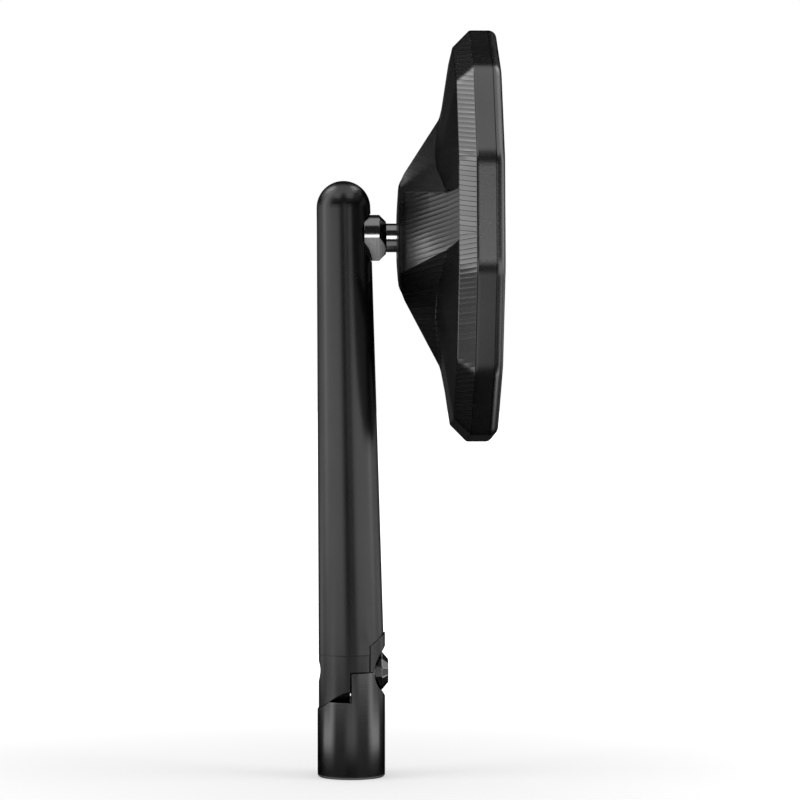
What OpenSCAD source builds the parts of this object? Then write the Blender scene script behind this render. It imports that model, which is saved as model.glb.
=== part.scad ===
// A folding bar end mirror: a round base, a leaning tapered stalk on a fold-away
// lap hinge, a steel ball stud and a twelve-sided machined head that holds the glass.
// Origin: centre of the base's seat. +Z runs up the stalk and +X towards the glass.

/* [Base] */
// Diameter of the round base
base_d = 16.5; // [15.5:0.5:20]
// Height of the base from its seat to the shoulder
shoulder_h = 18.7; // [17:0.1:26]
// Height of the fold axis over the shoulder
pivot_rise = 7.1; // [6.9:0.1:8]
// Edge break round the base's seat
base_chamfer = 0.4; // [0.2:0.1:1]
// Thread diameter of the mounting hole
mount_thread_d = 8; // [5:1:9]
// Depth of the mounting hole
mount_thread_depth = 12; // [8:1:14]

/* [Fold hinge] */
// Thread diameter of the pivot screw
pivot_thread_d = 5; // [4:0.5:6]
// Diameter of the base's eye
eye_d = 12; // [11:0.5:12.5]
// Width of the base's eye along the fold axis
eye_w = 4.6; // [4:0.1:5.2]
// Diameter of the stalk's rounded end about the fold axis
tongue_d = 18.2; // [17.6:0.1:18.6]
// Gap between the rounded end and its groove in the base
groove_gap = 0.3; // [0.2:0.1:0.6]
// How far the stalk folds away
fold_angle = 75; // [30:1:75]
// Angle past upright at which the stalk's knuckle ends on the far side
knuckle_wrap = 50; // [40:1:55]
// Free angle left between knuckle and base at the end of the fold
fold_margin = 7; // [4:1:10]
// Gap over the ledge that stops the stalk upright
ledge_gap = 0.1; // [0.05:0.05:0.3]
// Gap round the eye and round the screw head's pocket
eye_gap = 0.15; // [0.1:0.05:0.3]
// Thickness of the friction washer in the lap
lap_washer_t = 0.4; // [0.3:0.1:0.8]
// Wall of the bush in the eye
bush_wall = 1; // [0.8:0.1:1.5]
// Running clearance of the screw in its bush
bush_clearance = 0.05; // [0.02:0.01:0.1]

/* [Pivot screw] */
// Diameter of the screw's twelve-sided head
screw_head_d = 9.5; // [8.5:0.5:11]
// Diameter of the head's outer face
screw_face_d = 6; // [5.5:0.5:7]
// Length of the head's straight part
screw_head_h = 1.6; // [1:0.1:2]
// Length of the head's bevel
screw_bevel_h = 1.6; // [1:0.1:2]
// Width across the flats of the hexagon socket
socket_af = 4; // [3:0.5:4.5]
// Depth of the hexagon socket
socket_depth = 2; // [1:0.1:2.5]
// How deep the screw's tail ends inside the stalk
tail_recess = 0.7; // [0.3:0.1:1.5]
// Thickness of a pivot disc spring
pivot_spring_t = 0.25; // [0.2:0.05:0.3]
// Cone height of a pivot disc spring
pivot_spring_cone = 0.15; // [0.1:0.05:0.2]
// Thickness of the washer under the head
pivot_washer_t = 0.4; // [0.3:0.1:0.6]

/* [Stalk] */
// Diameter of the stalk at its straight foot
stalk_foot_d = 15.9; // [15:0.1:16.1]
// Diameter of the tapered part at its lower end
stalk_low_d = 16; // [15.2:0.1:16.2]
// Diameter of the tapered part at the dome
stalk_top_d = 13.1; // [12.5:0.1:14.5]
// Length from the fold axis to the dome's centre
stalk_len = 112.9; // [90:0.5:160]
// Height of the straight foot over the fold axis
foot_h = 4.6; // [4.2:0.1:5.5]
// How far the dome's centre leans away from the glass
stalk_lean = 1.87; // [0.5:0.01:3]
// How far the ball stud lies under the dome's centre
stud_drop = 7.3; // [7:0.1:20]

/* [Ball stud] */
// Diameter of the ball
ball_d = 12; // [11:0.5:12.5]
// Diameter of the shaft behind the ball
shaft_d = 7; // [6:0.5:7]
// Diameter of the collar
collar_d = 11.2; // [10.5:0.1:12]
// Length of the collar
collar_len = 3.7; // [3:0.1:4.5]
// Diameter at which the collar's bevel ends
collar_end_d = 7.9; // [7.5:0.1:8.5]
// Width across the two spanner flats
flats_af = 8; // [7.9:0.1:9.5]
// Depth of the flat seat cut for the collar
spotface_depth = 1.8; // [1:0.1:2.2]
// Gap between the collar and the edge of its seat
spotface_gap = 0.3; // [0.2:0.1:0.6]
// Distance from the collar's seat to the ball's centre
stud_reach = 15.4; // [15:0.1:20]
// Thread diameter of the stud's tail
stud_thread_d = 6; // [5:0.5:6.5]
// Length of the stud's tail
stud_tail = 8; // [6:0.5:8.5]

/* [Ball joint] */
// Depth of the ball's centre behind the hub's end
ball_depth = 7.4; // [7.2:0.1:8]
// Tilt of the head to each side, about each of two axes
tilt_angle = 10; // [4:1:10]
// Clearance between each two of the ball, its seats and the pocket
ball_gap = 0.15; // [0.1:0.05:0.2]
// Wall of the two ball seats
seat_wall = 1.5; // [1.2:0.1:1.6]
// Distance of each seat's inner edge from the ball's centre
seat_split = 0.9; // [0.8:0.05:1.2]
// Clearance round the shaft in the hub's mouth at full tilt
mouth_gap = 0.3; // [0.2:0.1:0.6]
// Thickness of the pressure cup behind its hollow
cup_floor = 0.7; // [0.5:0.1:1]
// Diameter of the hole through cup and springs
cup_bore_d = 6; // [5:0.5:7]
// Thickness of a ball disc spring
ball_spring_t = 0.6; // [0.5:0.1:0.8]
// Cone height of a ball disc spring
ball_spring_cone = 0.5; // [0.3:0.1:0.6]
// Thickness of the ring nut
ring_nut_t = 1.8; // [1.5:0.1:2]
// Diameter of the ring nut's spanner holes
spanner_hole_d = 1.6; // [1:0.1:2]

/* [Head] */
// Width of the head across its flats
head_af = 98; // [90:1:120]
// Corner radius of the head's outline
head_corner_r = 8; // [6:0.5:16]
// Depth of the head from the hub's end to the rim
head_depth = 23.8; // [23.5:0.1:30]
// Width of the chamfer round the back
back_chamfer = 4.1; // [3:0.1:6]
// Width of the straight outer wall
wall_w = 4.6; // [4:0.1:6]
// Radius of the rim's outer edge
rim_round = 1.9; // [1:0.1:2]
// Width of the rim from the outer wall to the glass recess
rim_w = 2.5; // [2.2:0.1:4]
// Slope of the back face in degrees
back_slope = 9; // [6:0.5:10]
// Thickness of the back wall over the relief
back_wall = 2.4; // [2:0.1:3]
// Width of the solid land that carries the glass pad's edge
land_w = 5; // [3:0.5:8]

/* [Hub] */
// Turn of the three spokes about the stud, counted up from the near side
spoke_turn = 6; // [0:1:20]
// Distance of a spoke's facet from the stud's axis at the hub's end
hub_facet_r = 9.6; // [9:0.1:11]
// Half width of a spoke's facet at the hub's end
hub_facet_w = 9.8; // [9:0.1:10.5]
// Distance of a valley from the stud's axis at the hub's end
hub_valley_r = 13; // [12:0.1:14]
// Depth of the rounding at the hub's end
hub_dome_h = 0.75; // [0.5:0.05:1]
// Reach of a spoke on the back face
spoke_reach = 42; // [38:0.5:43]
// Half width of a spoke's facet at its tip
spoke_tip_w = 6.1; // [5:0.1:7]
// Distance from the axis at which a spoke's facet flattens out
spoke_bend_r = 31.9; // [28:0.1:34]
// Depth of the flattened run at the tip
spoke_runout = 1.9; // [1.5:0.1:2.5]
// Growth of the valley's radius for each millimetre of depth
valley_slope = 0.86; // [0.7:0.01:1]

/* [Glass] */
// Thickness of the mirror glass
glass_t = 2.2; // [1.8:0.1:2.5]
// Radius of the convex glass
glass_r = 1200; // [1000:50:1400]
// Thickness of the adhesive pad
pad_t = 1; // [0.6:0.1:1.5]
// How far the glass lies under the rim
glass_sink = 0.7; // [0.4:0.1:1]
// Gap round the glass in its recess
glass_gap = 0.3; // [0.2:0.1:0.5]

/* [Hidden] */
$fn = 96;

// Longer than any cut needs
far = 60;
base_r = base_d / 2;
pivot_z = shoulder_h + pivot_rise;
pivot_r = pivot_thread_d / 2;
eye_r = eye_d / 2;
tongue_r = tongue_d / 2;
groove_r = tongue_r + groove_gap;
pocket_r = eye_r + eye_gap;
bush_bore_r = pivot_r + bush_clearance;
bush_r = bush_bore_r + bush_wall;
knuckle_end = 90 + knuckle_wrap;
riser_start = knuckle_end + fold_angle + fold_margin;
spring_pair = 2 * (pivot_spring_t + pivot_spring_cone);
screw_seat_x = eye_w + spring_pair + pivot_washer_t;
screw_face_x = screw_seat_x + screw_head_h + screw_bevel_h;
washer_r = eye_r - 0.4;
pivot_washer_r = screw_head_d / 2 - 0.2;

foot_r = stalk_foot_d / 2;
foot_top = pivot_z + foot_h;
dome_z = pivot_z + stalk_len;
dome_r = stalk_top_d / 2;
taper_len = norm([stalk_lean, dome_z - foot_top]);
lean_angle = atan2(stalk_lean, dome_z - foot_top);
// How far the tapered part is sunk into the foot
foot_overlap = 0.3;

stud_z = dome_z - stud_drop;
stud_share = (stud_z - foot_top) / (dome_z - foot_top);
stalk_x_at_stud = -stalk_lean * stud_share;
stalk_r_at_stud = stalk_low_d / 2 + (dome_r - stalk_low_d / 2) * stud_share;
spotface_x = stalk_x_at_stud + stalk_r_at_stud - spotface_depth;
collar_r = collar_d / 2;
collar_end_r = collar_end_d / 2;
shaft_r = shaft_d / 2;
ball_r = ball_d / 2;
ball_x = spotface_x + stud_reach;

seat_in_r = ball_r + ball_gap;
seat_out_r = seat_in_r + seat_wall;
ball_pocket_r = seat_out_r + ball_gap;
// Pan and tilt together lean the shaft by this much in the mouth
full_tilt = acos(cos(tilt_angle) * cos(tilt_angle));
mouth_r = shaft_r / cos(full_tilt) + ball_depth * tan(full_tilt) + mouth_gap;
seat_bore_r = shaft_r / cos(tilt_angle) + ball_r * tan(tilt_angle) + ball_gap;
cup_thread_r = ball_pocket_r + 0.2;
cup_r = cup_thread_r - 0.1;

// Depths in the head are counted from the hub's end
hub_x = ball_x - ball_depth;
head_r = head_af / 2;
wall_front = head_depth - rim_round;
wall_back = wall_front - wall_w;
ridge_depth = wall_back - back_chamfer;
ridge_r = head_r - back_chamfer;
recess_r = head_r - rim_w;
recess_corner_r = head_corner_r - rim_w;
glass_front = head_depth - glass_sink;
glass_back = glass_front - glass_t;
recess_floor = glass_back - pad_t;
cup_back = ball_depth + 0.4 * ball_pocket_r;
cup_front = ball_depth + sqrt(pow(ball_pocket_r, 2) - pow(cup_bore_d / 2, 2)) + cup_floor;
spring_h = ball_spring_t + ball_spring_cone;
nut_back = cup_front + 2 * spring_h;
tip_depth = back_depth(spoke_reach);
bend_depth = tip_depth - spoke_runout;
// The hub's flank starts at full size this far behind its end
flank_depth = hub_dome_h + 0.95;
flank_facet_r = hub_facet_r + 2.8;

// Depth of the back face at a distance from the stud's axis
function back_depth(r) = ridge_depth - (ridge_r - r) * tan(back_slope);

// Distance of a valley from the axis at a depth
function valley_r(depth) = hub_valley_r + valley_slope * (depth - hub_dome_h);

// Half width of a spoke's facet at a depth
function facet_w(depth) = hub_facet_w
  + (spoke_tip_w - hub_facet_w) * (depth - hub_dome_h) / (tip_depth - hub_dome_h);

// Outline with twelve flats and round corners; every fourth flat lies on a spoke
function head_outline(flat_r, corner_r, steps = 4) = [
  for (k = [0 : 11], s = [0 : steps])
    let (
      mid = 15 + 30 * k - spoke_turn,
      turn = mid - 15 + 30 * s / steps,
      reach = (flat_r - corner_r) / cos(15)
    )
    [reach * cos(mid) + corner_r * cos(turn), reach * sin(mid) + corner_r * sin(turn)]
];

// One level of the hub: three facets with straight sides between them
function star(facet_r, half_w, valley) = [
  for (k = [0 : 2])
    let (
      valley_before = [valley * cos(60), -valley * sin(60)],
      valley_after = [valley * cos(60), valley * sin(60)],
      edge_before = [facet_r, -half_w],
      edge_after = [facet_r, half_w]
    )
    each [
      for (p = concat(
          run(valley_before, edge_before, 4), [edge_before, [facet_r, 0]],
          run(edge_after, valley_after, 4)))
        turned(p, 120 * k)
    ]
];

function run(a, b, steps) = [for (s = [0 : steps - 1]) a + (b - a) * s / steps];
function turned(p, a) = [p[0] * cos(a) - p[1] * sin(a), p[0] * sin(a) + p[1] * cos(a)];
function scaled(points, f) = [for (p = points) p * f];

// Skin over rings of equally many points; each level is [depth, ring]
module loft(levels) {
  n = len(levels[0][1]);
  last = len(levels) - 1;
  middles = [[0, 0, levels[0][0]], [0, 0, levels[last][0]]];
  points = concat([for (l = levels, p = l[1]) [p[0], p[1], l[0]]], middles);
  first_middle = n * (last + 1);
  sides = [
    for (l = [0 : last - 1], i = [0 : n - 1])
      let (a = l * n + i, b = l * n + (i + 1) % n)
      each [[a, a + n, b], [b, a + n, b + n]]
  ];
  ends = [
    for (i = [0 : n - 1])
      let (j = (i + 1) % n)
      each [[first_middle, i, j], [first_middle + 1, last * n + j, last * n + i]]
  ];
  polyhedron(points = points, faces = concat(ends, sides), convexity = 6);
}

// Round bar along X at the height of the fold axis
module fold_bar(r, x0, x1) {
  translate([x0, 0, pivot_z]) rotate([0, 90, 0]) cylinder(r = r, h = x1 - x0);
}

// Wedge about the fold axis; angles run from the near side over the top to the far side
module fold_wedge(a0, a1, x0, lift = 0) {
  steps = 12;
  rim = [for (s = [0 : steps]) let (a = a0 + (a1 - a0) * s / steps) [-far * cos(a), far * sin(a)]];
  translate([x0, 0, pivot_z + lift]) rotate([90, 0, 90])
    linear_extrude(height = far) polygon(concat([[0, 0]], rim));
}

// Puts a shape that is drawn along +Z on the stud's axis, pointing at the glass
module on_stud(x) {
  translate([x, 0, stud_z]) rotate([0, 90, 0]) rotate([0, 0, 90]) children();
}

// A cone washer with flat rims, standing on its wide or on its narrow edge
module disc_spring(out_r, in_r, t, cone, wide_first) {
  far_side = wide_first ? cone : 0;
  near_side = cone - far_side;
  rotate_extrude()
    polygon([[in_r, far_side], [out_r, near_side], [out_r, near_side + t], [in_r, far_side + t]]);
}

module base() {
  color("#3a3a3c") difference() {
    union() {
      cylinder(r1 = base_r - base_chamfer, r2 = base_r, h = base_chamfer);
      translate([0, 0, base_chamfer]) cylinder(r = base_r, h = shoulder_h - base_chamfer);
      intersection() {
        translate([0, 0, shoulder_h - 1]) cylinder(r = base_r, h = pivot_rise + 1);
        fold_wedge(riser_start, 360, 0);
      }
      fold_bar(eye_r, 0, eye_w);
    }
    fold_bar(groove_r, -far, 0);
    fold_bar(pocket_r, eye_w, far);
    fold_bar(bush_r, -1, eye_w + 1);
    translate([0, 0, -1]) cylinder(r = mount_thread_d / 2, h = mount_thread_depth + 1);
  }
}

module pivot_bush() {
  color("#b08d4a") difference() {
    fold_bar(bush_r, 0, eye_w);
    fold_bar(bush_bore_r, -1, eye_w + 1);
  }
}

module friction_washer() {
  color("#d8d4c8") difference() {
    fold_bar(washer_r, -lap_washer_t, 0);
    fold_bar(bush_bore_r, -1, 1);
  }
}

// Tapered part with its round top, drawn along its own axis
module taper() {
  dome_steps = 14;
  dome = [for (s = [0 : dome_steps]) let (a = 90 * s / dome_steps)
    [dome_r * cos(a), taper_len + dome_r * sin(a)]];
  translate([0, 0, foot_top]) rotate([0, -lean_angle, 0]) rotate_extrude()
    polygon(concat([[0, -foot_overlap], [stalk_low_d / 2, -foot_overlap]], dome));
}

module stalk() {
  color("#2a2a2c") difference() {
    union() {
      translate([0, 0, pivot_z - tongue_r]) cylinder(r = foot_r, h = tongue_r + foot_h);
      taper();
      intersection() {
        translate([0, 0, pivot_z]) cylinder(r = base_r, h = groove_r);
        fold_bar(groove_r, eye_w, far);
      }
    }
    difference() {
      translate([-far, -far, pivot_z - far]) cube([2 * far, 2 * far, far]);
      fold_bar(tongue_r, -2 * far, 2 * far);
    }
    fold_wedge(knuckle_end, 361, -lap_washer_t, ledge_gap);
    fold_bar(pocket_r, -lap_washer_t, far);
    fold_bar(pivot_r, -far, 0);
    on_stud(spotface_x) cylinder(r = collar_r + spotface_gap, h = far);
    on_stud(spotface_x - stud_tail - 0.5) cylinder(r = stud_thread_d / 2, h = far);
  }
}

module pivot_screw() {
  tail_x = -(foot_r - tail_recess);
  color("#101012") difference() {
    union() {
      fold_bar(pivot_r, tail_x, screw_seat_x + 0.5);
      translate([screw_seat_x, 0, pivot_z]) rotate([0, 90, 0]) rotate([0, 0, 15]) {
        cylinder(d = screw_head_d, h = screw_head_h, $fn = 12);
        translate([0, 0, screw_head_h])
          cylinder(d1 = screw_head_d, d2 = screw_face_d, h = screw_bevel_h, $fn = 12);
      }
    }
    translate([screw_face_x - socket_depth, 0, pivot_z]) rotate([0, 90, 0])
      cylinder(d = socket_af / cos(30), h = socket_depth + 1, $fn = 6);
  }
}

module pivot_washer() {
  color("#9a9aa0") difference() {
    fold_bar(pivot_washer_r, eye_w + spring_pair, screw_seat_x);
    fold_bar(bush_bore_r, 0, far);
  }
}

module pivot_spring(wide_first) {
  inner = wide_first ? 0 : pivot_spring_t + pivot_spring_cone;
  color("#8a8a90") translate([eye_w + inner, 0, pivot_z]) rotate([0, 90, 0])
    disc_spring(pivot_washer_r, bush_bore_r, pivot_spring_t, pivot_spring_cone, wide_first);
}

module ball_stud() {
  bevel = collar_r - collar_end_r;
  color("#b4b4b8") difference() {
    on_stud(spotface_x) {
      translate([0, 0, -stud_tail]) cylinder(r = stud_thread_d / 2, h = stud_tail + 1);
      cylinder(r = collar_r, h = collar_len);
      translate([0, 0, collar_len]) cylinder(r1 = collar_r, r2 = collar_end_r, h = bevel);
      cylinder(r = shaft_r, h = stud_reach);
      translate([0, 0, stud_reach]) sphere(r = ball_r);
    }
    for (side = [0, 180])
      translate([spotface_x, 0, stud_z]) rotate([side + 45, 0, 0])
        translate([-1, flats_af / 2, -far]) cube([collar_len + bevel + 1, far, 2 * far]);
  }
}

// Zone of a round shell about the ball's centre, between two depths
module seat_zone(d0, d1, bore_r) {
  on_stud(ball_x) difference() {
    intersection() {
      sphere(r = seat_out_r);
      translate([-far, -far, d0]) cube([2 * far, 2 * far, d1 - d0]);
    }
    sphere(r = seat_in_r);
    translate([0, 0, d0 - 1]) cylinder(r = bore_r, h = d1 - d0 + 2);
  }
}

module rear_seat() {
  color("#e6e2d6") seat_zone(-seat_out_r, -seat_split, seat_bore_r);
}

module front_seat() {
  color("#e6e2d6") seat_zone(seat_split, seat_out_r, cup_bore_d / 2);
}

module head_body() {
  rim_steps = 5;
  rim = [for (s = [0 : rim_steps]) let (a = 90 * s / rim_steps)
    [wall_front + rim_round * sin(a), rim_round * (1 - cos(a))]];
  root_r = hub_facet_r;
  loft(concat(
    [[back_depth(root_r), head_outline(root_r, 2)],
     [ridge_depth, head_outline(ridge_r, head_corner_r - back_chamfer)],
     [wall_back, head_outline(head_r, head_corner_r)]],
    [for (r = rim) [r[0], head_outline(head_r - r[1], head_corner_r - r[1])]]
  ));
}

module hub_star() {
  end = star(hub_facet_r, hub_facet_w, hub_valley_r);
  tip = star(spoke_reach, spoke_tip_w, valley_r(tip_depth));
  rotate([0, 0, 180 - spoke_turn]) loft([
    [0, scaled(end, 0.72)],
    [hub_dome_h * 0.35, scaled(end, 0.9)],
    [hub_dome_h, end],
    [flank_depth, star(flank_facet_r, facet_w(flank_depth), valley_r(flank_depth))],
    [bend_depth, star(spoke_bend_r, facet_w(bend_depth), valley_r(bend_depth))],
    [tip_depth, tip],
    [tip_depth + back_wall / 2, scaled(tip, 0.95)]
  ]);
}

// Ring cut behind the glass that takes weight out of the head
module relief() {
  in_r = valley_r(bend_depth) + 1;
  out_r = recess_r - land_w;
  rotate_extrude() polygon([
    [in_r, back_depth(in_r) + back_wall], [out_r, back_depth(out_r) + back_wall],
    [out_r, recess_floor + 1], [in_r, recess_floor + 1]
  ]);
}

module housing() {
  color("#2c2c2e") on_stud(hub_x) difference() {
    union() {
      head_body();
      hub_star();
    }
    translate([0, 0, recess_floor])
      linear_extrude(height = far) polygon(head_outline(recess_r, recess_corner_r));
    relief();
    translate([0, 0, -1]) cylinder(r = mouth_r, h = ball_depth);
    translate([0, 0, ball_depth]) sphere(r = ball_pocket_r);
    translate([0, 0, ball_depth]) cylinder(r = cup_thread_r, h = far);
  }
}

module pressure_cup() {
  color("#8f9094") on_stud(hub_x) difference() {
    translate([0, 0, cup_back]) cylinder(r = cup_r, h = cup_front - cup_back);
    translate([0, 0, ball_depth]) sphere(r = ball_pocket_r);
    cylinder(r = cup_bore_d / 2, h = far);
  }
}

module ball_spring(depth, wide_first) {
  color("#8a8a90") on_stud(hub_x + depth)
    disc_spring(cup_r - 0.2, cup_bore_d / 2, ball_spring_t, ball_spring_cone, wide_first);
}

module ring_nut() {
  color("#a8a8ac") on_stud(hub_x) difference() {
    translate([0, 0, nut_back]) cylinder(r = cup_thread_r, h = ring_nut_t);
    cylinder(r = cup_bore_d / 2 + 0.5, h = far);
    for (side = [-1, 1])
      translate([side * (cup_thread_r + cup_bore_d / 2) / 2, 0, nut_back])
        cylinder(d = spanner_hole_d, h = far);
  }
}

module glass_pad() {
  r = recess_r - 2 * glass_gap;
  color("#1a1a1a") on_stud(hub_x + recess_floor)
    linear_extrude(height = pad_t) polygon(head_outline(r, recess_corner_r - glass_gap));
}

module mirror_glass() {
  r = recess_r - glass_gap;
  corner = r / cos(15);
  steps = 6;
  bulge = [for (s = [0 : steps]) let (d = corner * s / steps)
    [d, glass_t - (glass_r - sqrt(pow(glass_r, 2) - pow(d, 2)))]];
  color("#c8d2dc") on_stud(hub_x + glass_back) intersection() {
    rotate_extrude() polygon(concat([[corner, 0], [0, 0]], bulge));
    linear_extrude(height = glass_t + 1) polygon(head_outline(r, recess_corner_r - glass_gap));
  }
}

base();
pivot_bush();
friction_washer();
stalk();
pivot_screw();
pivot_washer();
pivot_spring(true);  // pivot_spring_inner
pivot_spring(false);  // pivot_spring_outer
ball_stud();
rear_seat();
front_seat();
housing();
pressure_cup();
ball_spring(cup_front, true);  // ball_spring_rear
ball_spring(cup_front + spring_h, false);  // ball_spring_front
ring_nut();
glass_pad();
mirror_glass();
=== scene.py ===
# %% [markdown]
# # A bar end mirror, dressed from its engineering model
# The mirror is three turned and milled parts of black anodised aluminium, joined by a
# bright steel ball stud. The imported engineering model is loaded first. It is the fixed
# frame: every piece below is drawn in metres in the same place as the solid it stands for.

import math

import bpy
import numpy as np
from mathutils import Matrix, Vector


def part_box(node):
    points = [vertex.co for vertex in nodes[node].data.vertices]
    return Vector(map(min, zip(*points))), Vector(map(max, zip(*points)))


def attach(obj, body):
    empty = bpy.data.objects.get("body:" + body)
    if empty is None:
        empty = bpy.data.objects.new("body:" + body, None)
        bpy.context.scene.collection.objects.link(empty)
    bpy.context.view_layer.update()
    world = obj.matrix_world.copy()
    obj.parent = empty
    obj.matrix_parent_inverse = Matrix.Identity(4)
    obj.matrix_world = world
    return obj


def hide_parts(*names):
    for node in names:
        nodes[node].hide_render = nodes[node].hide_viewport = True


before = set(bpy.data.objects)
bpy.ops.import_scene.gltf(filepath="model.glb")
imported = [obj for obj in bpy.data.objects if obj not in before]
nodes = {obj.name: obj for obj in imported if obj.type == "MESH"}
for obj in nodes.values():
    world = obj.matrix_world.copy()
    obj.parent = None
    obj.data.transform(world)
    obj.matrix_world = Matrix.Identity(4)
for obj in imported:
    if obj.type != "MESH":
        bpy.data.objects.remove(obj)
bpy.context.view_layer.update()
scene = bpy.context.scene
scene.view_settings.view_transform = "Standard"
print("solids in the frame:", len(nodes))

# %% [markdown]
# ## Where the pieces stand
# The pieces that are drawn again below follow the sizes of the engineering model. The
# heights and depths that place them come first, in millimetres, and each piece brings its
# own sizes in its own cells.

# %% Places in millimetres
MM = 0.001
STUD_Z = 131.4
HUB_X = 11.104
BALL_DEPTH = 7.4
PIVOT_Z = 25.8
stalk_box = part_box("stalk")
print("stalk top at", round(stalk_box[1].z / MM, 2), "mm")

# %% [markdown]
# ## The camera
# The photograph is taken from the near side with a long lens, a little from behind the
# head, at about the height of the ball. A long lens from far away keeps the head's
# near and far corners almost the same size.

# %% Camera
SIGHT = Vector((11.9, 0, 91.9)) * MM
DISTANCE = 0.854
TURN = math.radians(-1.6)
RISE = math.radians(1.5)
FRAME_WIDTH = 0.1951
SENSOR = 36

lens = bpy.data.cameras.new("camera")
lens.sensor_width = SENSOR
lens.lens = SENSOR * DISTANCE / FRAME_WIDTH
lens.clip_start, lens.clip_end = 0.05, 20
camera = bpy.data.objects.new("camera", lens)
scene.collection.objects.link(camera)
away = Vector((
    math.sin(TURN) * math.cos(RISE), -math.cos(TURN) * math.cos(RISE), math.sin(RISE)))
camera.location = SIGHT + away * DISTANCE
camera.rotation_euler = (-away).to_track_quat("-Z", "Y").to_euler()
scene.camera = camera
print("lens of", round(lens.lens, 1), "mm at", round(DISTANCE, 3), "m")

# %% [markdown]
# ## Writing shaders as sums
# A small class wraps a node's socket, so that Python's own signs make the Math nodes.
# `Paint` builds one material, and its `node` method takes a node's type, its settings
# and what goes into its sockets.

# %% Helpers for shader nodes
class Wire:
    """A socket of a node, on which arithmetic adds Math nodes."""

    def __init__(self, paint, socket):
        self.paint = paint
        self.socket = socket

    def maths(self, operation, *others):
        return self.paint.maths(operation, self, *others)

    def __add__(self, other):
        return self.maths("ADD", other)

    def __mul__(self, other):
        return self.maths("MULTIPLY", other)

    def __sub__(self, other):
        return self.maths("SUBTRACT", other)

    def __rsub__(self, other):
        return self.paint.maths("SUBTRACT", other, self)

    def __truediv__(self, other):
        return self.maths("DIVIDE", other)

    def __abs__(self):
        return self.maths("ABSOLUTE")

    def __pow__(self, other):
        return self.maths("POWER", other)

    __radd__ = __add__
    __rmul__ = __mul__

    def part(self):
        """What is left of a number after its whole part."""
        return self.maths("FRACT")

    def between(self, low, high):
        """0 under low, 1 over high, and a soft step between them."""
        return self.paint.node(
            "ShaderNodeMapRange", {"interpolation_type": "SMOOTHSTEP"},
            {"Value": self, "From Min": low, "From Max": high}).out("Result")


class Node:
    """A node that was made, and its outputs by name or number."""

    def __init__(self, paint, node):
        self.paint = paint
        self.node = node

    def out(self, name=0):
        return Wire(self.paint, self.node.outputs[name])


class Paint:
    """A node tree of a material or of the world."""

    def __init__(self, tree):
        self.tree = tree
        tree.nodes.clear()

    def node(self, kind, settings=None, sockets=None):
        """Makes a node of a type, sets it, and feeds its sockets by name or in order."""
        made = self.tree.nodes.new(kind)
        for name, value in (settings or {}).items():
            if name == "stops":
                for k, (place, shade) in enumerate(value):
                    steps = made.color_ramp.elements
                    step = steps[k] if k < len(steps) else steps.new(place)
                    step.position, step.color = place, (shade, shade, shade, 1)
            else:
                setattr(made, name, value)
        pairs = sockets.items() if isinstance(sockets, dict) else enumerate(sockets or [])
        for name, value in pairs:
            if isinstance(value, Wire):
                self.tree.links.new(value.socket, made.inputs[name])
            else:
                made.inputs[name].default_value = value
        return Node(self, made)

    def maths(self, operation, *values):
        return self.node("ShaderNodeMath", {"operation": operation}, values).out()

    def mix(self, share, first, second):
        """A colour between two; a plain number stands for a grey."""
        first, second = (
            (v, v, v, 1) if isinstance(v, (int, float)) else v for v in (first, second))
        return self.node(
            "ShaderNodeMix", {"data_type": "RGBA"},
            {"Factor": share, 6: first, 7: second}).out(2)

    def noise(self, place, scale, detail=2.0, stretch=(1, 1, 1)):
        """Noise in cycles per metre; stretch makes its grains long."""
        held = self.node(
            "ShaderNodeMapping", {}, {"Vector": place, "Scale": stretch}).out()
        return self.node(
            "ShaderNodeTexNoise", {},
            {"Vector": held, "Scale": scale, "Detail": detail}).out()

    def bump(self, height, strength, distance, normal=None):
        """A normal that leans as a height says."""
        sockets = {"Height": height, "Strength": strength, "Distance": distance}
        if normal:
            sockets["Normal"] = normal
        return self.node("ShaderNodeBump", {}, sockets).out("Normal")


def finish_named(name):
    """A new material, and its empty node tree to paint in."""
    material = bpy.data.materials.new(name)
    material.use_nodes = True
    return material, Paint(material.node_tree)


def shine(paint, sockets):
    """The surface shader of a material, wired to its output."""
    shader = paint.node("ShaderNodeBsdfPrincipled", {}, sockets)
    paint.node("ShaderNodeOutputMaterial", {}, {"Surface": shader.out("BSDF")})


print("shader helpers ready")

# %% [markdown]
# ## The studio
# The photograph has a white ground, bright sides and dark gaps: the round stalk shows two
# light bands with a dark one between them, and its rims stay dark. So the world and the
# floor are white, and two soft boxes light them. More light on the object could not give
# those bands, because dark metal shows what stands round it. A product photographer
# shapes that with cards, and so does this scene: a tent round the object and a card on
# the floor, which only reflections can see. What shows the background also sees a glow of
# the floor, weaker near the object, so that the floor turns white and its shadow stays.

# %% World
def background_seen(paint):
    """1 for what shows the background: the camera, mirrors and glass."""
    path = paint.node("ShaderNodeLightPath")
    seen = path.out("Is Camera Ray").maths("MAXIMUM", path.out("Is Glossy Ray"))
    return seen.maths("MAXIMUM", path.out("Is Transmission Ray"))


world = bpy.data.worlds.new("studio")
scene.world = world
world.use_nodes = True
sky = Paint(world.node_tree)
AMBIENT = 0.6
level = AMBIENT + (1 - AMBIENT) * background_seen(sky)
glow = sky.node(
    "ShaderNodeBackground", {}, {"Color": (1, 1, 1, 1), "Strength": level})
sky.node("ShaderNodeOutputWorld", {}, {"Surface": glow.out()})
print("white world at", AMBIENT, "of its strength for lighting")

# %% Floor
def stage_piece(name, points, faces, material):
    """A mesh of the studio, which is no part of the mirror."""
    mesh = bpy.data.meshes.new(name)
    mesh.from_pydata(points, [], faces)
    mesh.materials.append(material)
    board = bpy.data.objects.new(name, mesh)
    scene.collection.objects.link(board)
    return board


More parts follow.
